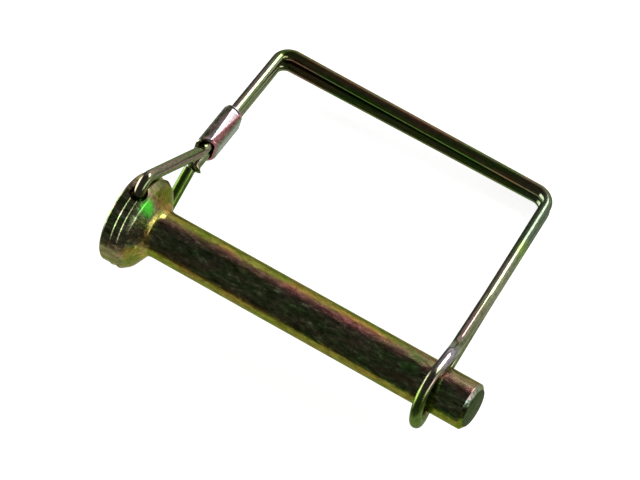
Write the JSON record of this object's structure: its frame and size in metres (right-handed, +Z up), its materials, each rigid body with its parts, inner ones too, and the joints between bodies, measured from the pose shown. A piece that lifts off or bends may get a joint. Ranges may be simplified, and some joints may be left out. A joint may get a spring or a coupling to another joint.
{
  "type": "hitch pin lock",
  "caption": "Headed steel lock pin with a square bail of doubled spring wire that hinges in the head's cross hole and snaps over the tip to keep the pin in its bore.",
  "frame": {"origin": "centre of the bounding box's bottom face, on the surface the part lies on", "axes": "+X along the pin from head to tip (the pin's axis is pitched 2.4 degrees, tip down), +Y across the bail from the pin towards its bar, +Z up"},
  "size_m": [0.0794, 0.0644, 0.0243],
  "materials": {
    "pin": "satin",
    "wire": "satin",
    "ferrule": "satin"
  },
  "bodies": {
    "pin": {"headed_pin": "pin"},
    "bail": {"free_end_strand": "wire", "head_strand": "wire", "ferrule": "ferrule"},
    "loop": {"snap_loop": "wire"}
  },
  "joints": [
    {"name": "bail_swing", "type": "hinge", "parent": "pin", "child": "bail", "pos_m": [-0.036, -0.02264, 0.01208], "axis": [0.0419, 0, 0.9991], "range_deg": [0, 245]},
    {"name": "loop_snap", "type": "hinge", "parent": "bail", "child": "loop", "pos_m": [0.01975, 0.03056, 0.00245], "axis": [0.0415, 0.1357, 0.9899], "range_deg": [0, 18], "stiffness_Nm_per_rad": 6, "deforming": ["snap_loop"]}
  ]
}
